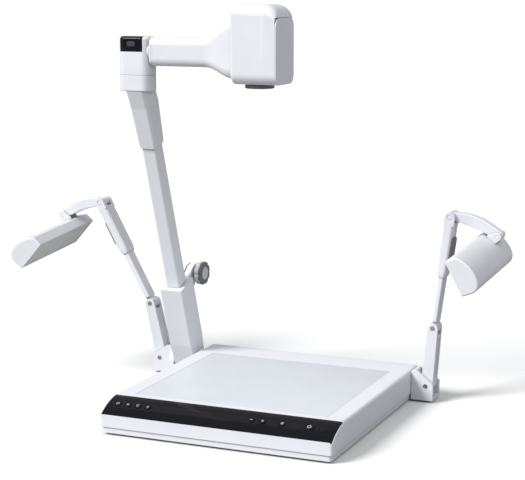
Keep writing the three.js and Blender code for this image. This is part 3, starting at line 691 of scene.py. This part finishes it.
def base_skin(name, inset, bottom, side_round):
    """The base cover's form drawn in by `inset`, with rounded left and right ends."""
    low, high = Base.low, Base.high
    outline = base_outline(inset, bottom)
    back, front, top = high.y - inset, low.y + inset, high.z - inset

    def section(x, drawn_in):
        squeeze = (back - front - 2 * drawn_in) / (back - front)
        middle = (back + front) / 2
        lowered = (top - bottom - drawn_in) / (top - bottom)
        return [Vector((x, middle + (y - middle) * squeeze, bottom + (z - bottom) * lowered))
                for y, z in outline]

    places = ends(low.x + inset, high.x - inset, side_round, side_round)
    return skin(name, [section(x, d) for x, d in places])


def strip_cutter(name, outer, inner):
    """A bar across the base whose section lies between two offsets of the front edge."""
    outline = [*Base.slope(outer), *reversed(Base.slope(inner))]
    return skin(name, [across_x(x, outline) for x in (Base.low.x - PAST, Base.high.x + PAST)])


def button_frame(name):
    """Frame of a button with Z out of the slope, and the button's lowest and highest corners."""
    low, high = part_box(name)
    matrix = Base.slope_frame((low.x + high.x) / 2)
    return matrix, *extent(name, matrix)


def button_slot(name):
    low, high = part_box(name)
    along, down, up = SLOT_SIZE
    return block((low.x - 1 * MM, -along / 2, -down), (high.x + 1 * MM, along / 2, up),
                 Base.slope_frame(0))


def button_hole(name):
    matrix, low, high = button_frame(name)
    width, depth = high.x - low.x + 2 * GAP, high.y - low.y + 2 * GAP
    return skin("hole", [[matrix @ p for p in across_z(z, rounded(width, depth, depth / 2))]
                         for z in (-9 * MM, 9 * MM)])


def base_shells():
    """The cover, with its openings for stage, rear panel and buttons, and the dark fascia."""
    low, high = Base.low, Base.high
    recess = Base.thick + GAP
    cover = base_skin("cover_shell", 0, low.z, BASE_SIDE)
    hollow = base_skin("hollow", recess + Base.wall, low.z - 1 * MM, 3 * MM)
    strip = strip_cutter("strip", -3 * MM, recess)
    s_low, s_high = Base.stage_low, Base.stage_high
    tray = block((s_low.x - GAP, s_low.y - GAP, s_low.z - GAP),
                 (s_high.x + GAP, s_high.y + GAP, high.z + PAST))
    window = block((s_low.x + STAGE_LEDGE, s_low.y + STAGE_LEDGE, s_low.z - 2 * PAST),
                   (s_high.x - STAGE_LEDGE, s_high.y - STAGE_LEDGE, high.z))
    plate_low, plate_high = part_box("rear_connector_panel")
    rear = block((plate_low.x - GAP, plate_low.y - PAST, plate_low.z - GAP),
                 (plate_high.x + GAP, plate_high.y + 2 * PAST, plate_high.z + GAP))
    slots = [button_slot(name) for name in BUTTON_NAMES]
    combine(cover, "DIFFERENCE", hollow, strip, tray, window, rear, *slots)
    finish_piece(soften(cover, 0.7 * MM), "base", "white_plastic", "base_cover")

    fascia = base_skin("fascia_shell", FASCIA_INSET, low.z, BASE_SIDE)
    combine(fascia, "INTERSECT", strip_cutter("band", -3 * MM, Base.thick))
    combine(fascia, "DIFFERENCE", *[button_hole(name) for name in BUTTON_NAMES])
    finish_piece(soften(fascia, 0.5 * MM), "base", "black_gloss", "control_fascia")


def stage_panel():
    low, high = Base.stage_low, Base.stage_high
    width, depth = high.x - low.x, high.y - low.y
    rings = [across_z(z, rounded(width - 2 * d, depth - 2 * d, STAGE_CORNER, middle_of(low, high)))
             for z, d in ends(low.z, high.z, 0.3 * MM, 0.5 * MM, 4)]
    finish_piece(skin("stage_sheet", rings), "base", "stage_white", "stage_panel")


def buttons():
    """Dished caps with a generic mark inlaid in each: ring, bars, arrow, plus, minus and so on."""
    for name in BUTTON_NAMES:
        matrix, low, high = button_frame(name)
        width, depth = high.x - low.x, high.y - low.y
        rings = [across_z(z, rounded(width - 2 * d, depth - 2 * d, depth / 2 - d / 2))
                 for z, d in ends(low.z, high.z, 0.2 * MM, 0.7 * MM, 5)]
        for dip, inward in BUTTON_DISH:
            d = inward * MM
            rings.append(across_z(high.z - dip * MM,
                                  rounded(width - 2 * d, depth - 2 * d, depth / 2 - d)))
        cap = skin(name.replace("button", "cap"), [[matrix @ p for p in ring] for ring in rings])
        finish_piece(cap, name, "black_gloss", name)
        mark(name, matrix, high.z - MARK_BELOW)


def bar_mark(x0, x1, y0, y1):
    return [(x0, y0), (x1, y0), (x1, y1), (x0, y1)]


def ring_mark(radius, width, start=0, turn=359, steps=28):
    angles = [math.radians(start + turn * i / steps) for i in range(steps + 1)]
    inside = radius - width
    outer = [(radius * math.cos(a), radius * math.sin(a)) for a in angles]
    inner = [(inside * math.cos(a), inside * math.sin(a)) for a in reversed(angles)]
    return outer + inner


# Outlines in millimetres about the middle of each cap.
MARKS = {
    "button_source": [bar_mark(-2.2, 2.2, -1.6, -1.1), bar_mark(-2.2, 2.2, 1.1, 1.6),
                      bar_mark(-2.2, -1.7, -1.1, 1.1), bar_mark(1.7, 2.2, -1.1, 1.1)],
    "button_freeze": [bar_mark(-1.4, -0.5, -1.8, 1.8), bar_mark(0.5, 1.4, -1.8, 1.8)],
    "button_rotate": [ring_mark(2.1, 0.55, 60, 270), [(0.4, 1.5), (1.9, 2.3), (1.6, 0.7)]],
    "button_lamp": [ring_mark(1.5, 0.5), bar_mark(-0.7, 0.7, -2.6, -2.0)],
    "button_zoom_out": [bar_mark(-2.0, 2.0, -0.4, 0.4)],
    "button_zoom_in": [bar_mark(-2.0, 2.0, -0.4, 0.4), bar_mark(-0.4, 0.4, 0.4, 2.0),
                       bar_mark(-0.4, 0.4, -2.0, -0.4)],
    "button_focus": [ring_mark(2.2, 0.5), ring_mark(0.8, 0.79)],
    "button_power": [ring_mark(2.2, 0.6, 120, 300), bar_mark(-0.35, 0.35, 0.6, 2.6)],
}


def mark(name, matrix, height):
    """A printed mark as a thin inlay that stands a hair above the cap."""
    points, faces = [], []
    scale = POWER_SCALE if name == "button_power" else MARK_SCALE
    for outline in MARKS[name]:
        start, count = len(points), len(outline)
        for lift in MARK_DEPTH:
            points += [Vector((x * scale * MM, y * scale * MM, height + lift)) for x, y in outline]
        faces.append(tuple(range(start + count - 1, start - 1, -1)))
        faces.append(tuple(range(start + count, start + 2 * count)))
        faces += band_faces(start, start + count, count)
    inlay = mesh_piece(name.replace("button", "mark"), points, faces, matrix, 20)
    finish_piece(inlay, name, "grey_plastic", look="print")


# ---------- lamps ----------
SHADE_DEEP = 36 * MM                # height of the shade's outer edge over its lit face
SHADE_SHALLOW = 18 * MM             # and of its inner edge
SHADE_WALL = 2.2 * MM
EAR_INNER, EAR_OUTER, EAR_RADIUS = 9.2 * MM, 13.2 * MM, 7 * MM
SHADE_PIN = 3.5 * MM                # radius of the neck's trunnions in the shade's ears
ROOT_PIN = 4 * MM                   # and of those in the sleeve's fork
ROOT_REACH = 16.5 * MM
NECK_EYE = 8 * MM                   # radius of the round ends of the neck
NECK_HALF = 8 * MM
NECK_BOW = 8 * MM


def shade_frame(name, side):
    """Frame on the hinge of a shade, with Z out of its lit face and X away from the base."""
    roll = JOINTS[f"lamp_roll_{name}"]
    pane = NODES[f"lamp_diffuser_{name}"].data
    up = max(pane.polygons, key=lambda polygon: polygon.area).normal.copy()
    if up.z < 0:
        up.negate()
    along = Vector(roll["axis"]) * side
    return frame_at(Vector(roll["pos_m"]), along.cross(up), up)


def shade_outline(side, inset, lip, outer, inner, low):
    """The shade's section: flat along the lit face, rising from a shallow edge to a round back."""
    width = outer - inner
    controls = (
        (outer + 1 * MM - inset, low + SHADE_DEEP * 0.55),
        (outer - 1 * MM - inset, low + SHADE_DEEP * 1.25 - inset),
        (inner + width * 0.3, low + SHADE_DEEP * 1.08 - inset),
        (inner + inset, low + SHADE_SHALLOW - inset / 2))
    back = []
    for i in range(33):
        t = i / 32
        weights = ((1 - t) ** 3, 3 * t * (1 - t) ** 2, 3 * t * t * (1 - t), t ** 3)
        back.append(tuple(sum(w * p[k] for w, p in zip(weights, controls)) for k in (0, 1)))
    turn = 1.2 * MM
    start = [(inner + inset, low + lip + turn),
             (inner + inset + turn * 0.3, low + lip + turn * 0.3),
             (inner + inset + turn, low + lip)]
    finish = [(outer - inset - 1 * MM - turn, low + lip),
              (outer - inset - 1 * MM - turn * 0.2, low + lip + turn * 0.3),
              (outer - inset - 0.6 * MM, low + lip + turn)]
    return [(side * x, z) for x, z in start + finish + back]


def shade_ear(side, sign):
    """One hinge ear on the back of a shade, thinner towards its outer faces."""
    outline = [(EAR_RADIUS * math.cos(a), EAR_RADIUS * math.sin(a))
               for a in (math.pi * i / 20 for i in range(21))]
    outline += [(-EAR_RADIUS - 2 * MM, -14 * MM), (-EAR_RADIUS - 1 * MM, -17 * MM),
                (10 * MM, -15 * MM), (EAR_RADIUS + 2 * MM, -8 * MM)]
    near, far = sorted((sign * EAR_INNER, sign * EAR_OUTER))
    return skin("ear", [
        [Vector((side * x * (1 - d / (8 * MM)), y, z * (1 - d / (20 * MM)))) for x, z in outline]
        for y, d in ends(near, far, 0.6 * MM, 0.6 * MM, 3)])


def shade_shell(name, side):
    matrix = shade_frame(name, side)
    low, high = extent(f"lamp_shade_{name}", matrix)
    inner, outer = (low.x, high.x - 0.9 * MM) if side > 0 else (-high.x, -low.x - 0.9 * MM)

    def section(y, inset, lip=0.0):
        outline = shade_outline(side, inset, lip, outer, inner, low.z)
        return [Vector((x, y, z)) for x, z in outline]

    outside = ends(low.y, high.y, 3 * MM, 3 * MM)
    inside = ends(low.y + SHADE_WALL, high.y - SHADE_WALL, 2 * MM, 2 * MM)
    shell = skin(f"shade_{name}", [section(y, d) for y, d in outside])
    room = skin("room", [section(y, SHADE_WALL + d, -2 * MM) for y, d in inside])
    combine(shell, "DIFFERENCE", room)
    combine(shell, "UNION", *[shade_ear(side, sign) for sign in (-1, 1)])
    bore = skin("bore", [across_y(y, circle(SHADE_PIN + GAP)) for y in (-2 * PAST, 2 * PAST)])
    combine(shell, "DIFFERENCE", bore)
    shell.data.transform(matrix)
    node = f"lamp_shade_{name}"
    finish_piece(soften(shell, 0.4 * MM), node, "white_plastic", node)


def neck_outline(reach, steps=28):
    """The neck's side view as (x, z): a bowed web between two round eyes, `reach` apart."""
    upper, lower = [], []
    for i in range(steps + 1):
        t = i / steps
        bow = NECK_BOW * math.sin(math.pi * t)
        upper.append((reach * t, bow + NECK_EYE))
        lower.append((reach * t, bow - (6 + 2 * t + 4 * math.sin(math.pi * t)) * MM))
    turns = [math.pi * i / 12 for i in range(1, 12)]
    end_eye = [(reach + NECK_EYE * math.sin(a), NECK_EYE * math.cos(a)) for a in turns]
    root_eye = [(-NECK_EYE * math.sin(a), -NECK_EYE * math.cos(a)) for a in turns]
    return upper + end_eye + lower[::-1] + root_eye


def neck_shell(name, side):
    """A bowed web with round eyes at both ends and trunnions in each."""
    root, pivot = joint_at(f"lamp_swing_{name}"), joint_at(f"lamp_roll_{name}")
    reach = (pivot - root).length
    x_axis = ((pivot - root) * side).normalized()
    matrix = frame_at(root, x_axis, x_axis.cross(Vector((0, 1, 0))))
    outline = neck_outline(reach)
    middle = reach / 2

    def section(y, d):
        shrink_x, shrink_z = 1 - d / (middle + NECK_EYE), 1 - d / (9 * MM)
        points = []
        for x, z in outline:
            bow = NECK_BOW * math.sin(math.pi * max(0, min(1, x / reach)))
            points.append(Vector((side * (middle + (x - middle) * shrink_x), y,
                                  bow + (z - bow) * shrink_z)))
        return points

    web = skin(f"neck_{name}", [section(y, d)
                                for y, d in ends(-NECK_HALF, NECK_HALF, 1.6 * MM, 1.6 * MM, 4)])
    droop = Vector(JOINTS[f"lamp_roll_{name}"]["axis"]) * side
    local = (matrix.inverted().to_3x3() @ droop).normalized()
    tips = [Vector((side * reach, 0, 0)) + local * k * EAR_OUTER for k in (-1, 1)]
    end_pin = skin("end_pin", [[tip + Vector((u, 0, v)) for u, v in circle(SHADE_PIN)]
                               for tip in tips])
    root_pin = skin("root_pin", [across_y(y, circle(ROOT_PIN - d))
                                 for y, d in ends(-ROOT_REACH, ROOT_REACH, 0.4 * MM, 0.4 * MM, 3)])
    combine(web, "UNION", end_pin, root_pin)
    web.data.transform(matrix)
    node = f"lamp_neck_{name}"
    finish_piece(soften(web, 0.3 * MM), node, "white_plastic", node)


# ---------- clamp knob ----------
KNOB_LOBES = 8
KNOB_HOLLOW = 2.2 * MM              # depth of the finger hollows
KNOB_RING = 5 * MM                  # thickness of the dark ring
# Millimetres along the axis, radius in millimetres, and share of the finger hollows' depth.
BODY_BACK = ((0, 8.6, 0), (0.4, 9.4, 0), (1, 10, 0), (5, 10, 0), (5.6, 12, 0), (6, 17, 0.6),
             (6.8, 19.4, 1), (8, 21, 1))
BODY_SEAM = ((-0.6, 21, 1), (-0.1, 20.3, 1))
RING_SEAM = ((0, 20.3, 1), (0.5, 21, 1))
RING_FACE = ((-2, 21, 1), (-0.8, 20.4, 1), (-0.2, 19.2, 0.8), (0, 17.4, 0.4), (0, 13.2, 0),
             (-1.2, 12.6, 0), (-1.5, 0.5, 0))


def turned(name, profile, centre, count=128):
    """A lobed body turned about an X axis from rows of x, radius and depth of the hollows."""
    points, faces = [], []
    for x, r, depth in profile:
        for i in range(count):
            angle = 2 * math.pi * i / count
            radius = r - max(0.0, math.cos(KNOB_LOBES * angle)) ** 2 * depth
            points.append(Vector((x, centre.y + radius * math.cos(angle),
                                  centre.z + radius * math.sin(angle))))
    for k in range(len(profile) - 1):
        faces += band_faces(k * count, (k + 1) * count, count)
    faces += cap_faces(len(points), count)
    return mesh_piece(name, points, faces)


def knob_rows(x, rows):
    return [(x + along * MM, r * MM, share * KNOB_HOLLOW) for along, r, share in rows]


def clamp_knob():
    """A lobed hand knob: pale body, dark grip ring round its face and a pale cap in the middle."""
    centre = joint_at("clamp_turn")
    axis = (centre.y, centre.z)
    low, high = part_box("clamp_knob")
    seam = high.x - KNOB_RING
    body = turned("knob_body", knob_rows(low.x, BODY_BACK) + knob_rows(seam, BODY_SEAM), centre)
    bore = skin("bore", [across_x(x, circle(3.1 * MM, axis))
                         for x in (low.x - PAST, low.x + 9 * MM)])
    combine(body, "DIFFERENCE", bore)
    finish_piece(body, "clamp", "dark_plastic", "clamp_knob", look="pale_cap")
    ring = turned("knob_ring", knob_rows(seam, RING_SEAM) + knob_rows(high.x, RING_FACE), centre)
    finish_piece(ring, "clamp", "dark_plastic")
    cap = skin("knob_cap", [across_x(x, circle(12.2 * MM - d, axis))
                            for x, d in ends(high.x - 1.45 * MM, high.x - 0.1 * MM,
                                             0.1 * MM, 0.6 * MM)])
    finish_piece(cap, "clamp", "grey_plastic", look="pale_cap")


# ---------- details of the lamp arms ----------
FLUTE_HALF, FLUTE_DEPTH = 7 * MM, 2.2 * MM
FLUTE_ENDS = (16 * MM, 19 * MM)     # distance of a flute from the lower and the upper pivot
SEAM_HALF, SEAM_DEPTH = 0.35 * MM, 0.9 * MM
SHADOW_STRIP_ENDS = (84 * MM, 36 * MM)       # distance of both ends of the dark strip, a painted shadow of the shade on the sleeve, from the upper pivot
SHADOW_STRIP_WIDTH, SHADOW_STRIP_CORNER = 26 * MM, 5 * MM


def fine_copy(name, *cutters):
    """A node's own shape as a new piece, with grooves or seams cut into it."""
    piece = bpy.data.objects.new(f"{name}_fine", NODES[name].data.copy())
    bpy.context.scene.collection.objects.link(piece)
    merge_facets(piece)
    apply_modifiers(piece)
    combine(piece, "DIFFERENCE", *cutters)
    finish_piece(soften(piece, 0.7 * MM, 3, 28), BODY_OF[name], SLOT_OF[name], name)


def arm_frame(side, lower, upper):
    """Turned frame of a lamp arm: origin on its lower pivot, Z up the arm, X away from the base."""
    start, end = joint_at(lower), joint_at(upper)
    up = (end - start).normalized()
    return frame_at(start, Vector((0, 1, 0)).cross(up) * side, up), (end - start).length


def lamp_arm(name, side):
    """Flutes on both faces of the lower arm, the sleeve's seam, and a dark strip on the sleeve's outer face as a
    painted shadow of the shade.
    """
    arm, sleeve = f"lamp_lower_arm_{name}", f"lamp_sleeve_{name}"
    matrix, length = arm_frame(side, f"lamp_foot_{name}", f"lamp_elbow_{name}")
    low, high = extent(arm, matrix)
    faces = ((low.x - PAST, low.x + FLUTE_DEPTH), (high.x - FLUTE_DEPTH, high.x + PAST))
    flutes = [block((x0, -FLUTE_HALF, FLUTE_ENDS[0]), (x1, FLUTE_HALF, length - FLUTE_ENDS[1]),
                    matrix) for x0, x1 in faces]
    fine_copy(arm, *flutes)

    matrix, length = arm_frame(side, f"lamp_elbow_{name}", f"lamp_swing_{name}")
    low, high = extent(sleeve, matrix)
    seam = block((low.x - PAST, -SEAM_HALF, low.z - PAST),
                 (high.x + PAST, SEAM_HALF, low.z + SEAM_DEPTH), matrix)
    fine_copy(sleeve, seam)
    # A dark strip on the sleeve's outer face, where the shade only casts shadow: a painted shadow.
    near, far = (length - end for end in SHADOW_STRIP_ENDS)
    middle = (0, (far + near) / 2)
    shadow_strip = skin(f"painted_shadow_strip_{name}", [
        [matrix @ p for p in across_x(high.x + lift, rounded(
            SHADOW_STRIP_WIDTH - 2 * d, far - near - 2 * d, SHADOW_STRIP_CORNER - d / 2, middle))]
        for lift, d in ends(-0.6 * MM, 2.6 * MM, 0.1 * MM, 1 * MM)])
    finish_piece(shadow_strip, sleeve, "dark_plastic")


# ---------- the whole object ----------
SIDES = (("left", -1), ("right", 1))
HANDMADE = {
    "camera_head_housing", "camera_side_panel", "lens_hood", "camera_arm", "elbow_collar",
    "elbow_housing", "sensor_window", "base_cover", "control_fascia", "stage_panel", "clamp_knob",
    *BUTTON_NAMES,
    *(f"lamp_{part}_{name}" for part in ("shade", "neck", "lower_arm", "sleeve")
      for name in ("left", "right"))}

for node_name in NODES:
    if node_name not in HANDMADE:
        finish_cad(node_name)
camera_head()
lens_barrel()
camera_arm()
elbow()
base_shells()
stage_panel()
buttons()
clamp_knob()
for name, side in SIDES:
    shade_shell(name, side)
    neck_shell(name, side)
for name, side in SIDES:
    lamp_arm(name, side)


# ---------- studio ----------
FLOOR_SEEN = (0.79, 0.79, 0.795)    # the floor's colour as the camera sees it
FLOOR_LIT = (0.30, 0.30, 0.31)      # and as it throws light back on the object
SURROUND, BACKDROP = 0.42, 1.2      # strength of the light all round, and of the white behind
SENSOR_WIDTH = 36
FOCAL_LENGTH = 105.325714
CAMERA_PLACE = (0.984, -2.306, 0.733)
CAMERA_TURN = (math.radians(90 - 9.84), 0, math.radians(23.25))


def studio_floor():
    """A pale sheet out to the horizon, darker to other surfaces than to the camera."""
    s = Shader("floor")
    camera_ray = s.add("ShaderNodeLightPath").outputs["Is Camera Ray"]
    s.link(s.mix(camera_ray, FLOOR_LIT, FLOOR_SEEN), s.surface.inputs["Base Color"])
    s.link(s.remap(s.noise(0.3, 2), 0.3, 0.7, 0.85, 0.95), s.surface.inputs["Roughness"])
    s.set(Specular_IOR_Level=0.0)
    bpy.ops.mesh.primitive_plane_add(size=60, location=(0, 0, 0))
    floor = bpy.context.object
    floor.name = "floor"
    floor.data.materials.append(s.material)


def studio_world():
    """An even surround that lights the object, and plain white where the camera sees past it."""
    world = bpy.data.worlds.new("studio")
    bpy.context.scene.world = world
    world.use_nodes = True
    tree = world.node_tree
    tree.nodes.clear()
    out = tree.nodes.new("ShaderNodeOutputWorld")
    mix = tree.nodes.new("ShaderNodeMixShader")
    path = tree.nodes.new("ShaderNodeLightPath")
    soft = tree.nodes.new("ShaderNodeBackground")
    seen = tree.nodes.new("ShaderNodeBackground")
    soft.inputs["Color"].default_value = (0.97, 0.98, 1, 1)
    seen.inputs["Color"].default_value = (1, 1, 1, 1)
    soft.inputs["Strength"].default_value = SURROUND
    seen.inputs["Strength"].default_value = BACKDROP
    tree.links.new(path.outputs["Is Camera Ray"], mix.inputs[0])
    tree.links.new(soft.outputs[0], mix.inputs[1])
    tree.links.new(seen.outputs[0], mix.inputs[2])
    tree.links.new(mix.outputs[0], out.inputs["Surface"])


def sunlight(name, direction, spread, brightness):
    """A far, soft light that lays `brightness` (1 = white) on a white face turned to it."""
    lamp = bpy.data.lights.new(name, "SUN")
    lamp.angle = math.radians(spread)
    lamp.energy = brightness * math.pi
    item = bpy.data.objects.new(name, lamp)
    bpy.context.scene.collection.objects.link(item)
    item.rotation_mode = "QUATERNION"
    item.rotation_quaternion = Vector(direction).to_track_quat("Z", "Y")


def studio_camera():
    data = bpy.data.cameras.new("camera")
    data.sensor_width = SENSOR_WIDTH
    data.lens = FOCAL_LENGTH
    camera = bpy.data.objects.new("camera", data)
    bpy.context.scene.collection.objects.link(camera)
    camera.location = CAMERA_PLACE
    camera.rotation_euler = CAMERA_TURN
    bpy.context.scene.camera = camera


studio_floor()
studio_world()
sunlight("key", (-0.50, -0.61, 0.61), 24, 1.2)
sunlight("fill", (0.60, -0.34, 0.72), 50, 0.28)
studio_camera()
bpy.context.scene.view_settings.view_transform = "Standard"
